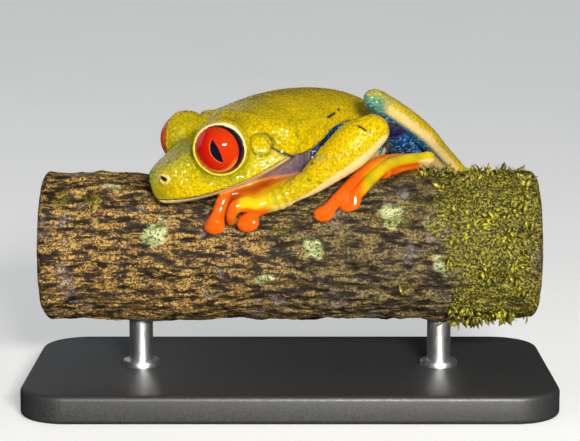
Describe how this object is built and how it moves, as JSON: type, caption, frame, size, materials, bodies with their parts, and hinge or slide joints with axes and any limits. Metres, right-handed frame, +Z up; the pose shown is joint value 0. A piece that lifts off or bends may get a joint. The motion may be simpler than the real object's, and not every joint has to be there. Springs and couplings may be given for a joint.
{
  "type": "red-eyed tree frog on a branch",
  "caption": "Life-size still model of a crouching red-eyed tree frog gripping a short cut branch, held on a plain display stand.",
  "frame": {"origin": "centre of the underside of the stand's base, on the surface that it stands on", "axes": "+X along the branch from the frog's head end towards its hind legs, +Y away from the side that the frog's left hand grips, +Z up"},
  "size_m": [0.066, 0.041, 0.039],
  "materials": {
    "skin": "wet, fine-grained frog skin: yellow-green above, blue flanks and limbs, cream edges, orange toes",
    "eye": "wet and glossy, red iris with an upright black slit pupil",
    "bark": "rough brown bark with grey-green lichen and moss",
    "stand_base": "satin black",
    "stand_rod": "brushed"
  },
  "bodies": {
    "root": {"perch": "bark", "stand_base": "stand_base", "stand_rod_1": "stand_rod", "stand_rod_2": "stand_rod", "head": "skin", "lower_jaw": "skin", "trunk": "skin", "eye_left": "eye", "eye_right": "eye", "eardrum_left": "skin", "eardrum_right": "skin", "upper_arm_left": "skin", "forearm_left": "skin", "hand_left": "skin", "thigh_left": "skin", "shank_left": "skin", "tarsus_left": "skin", "foot_left": "skin", "upper_arm_right": "skin", "forearm_right": "skin", "hand_right": "skin", "thigh_right": "skin", "shank_right": "skin", "tarsus_right": "skin", "foot_right": "skin"}
  },
  "joints": []
}
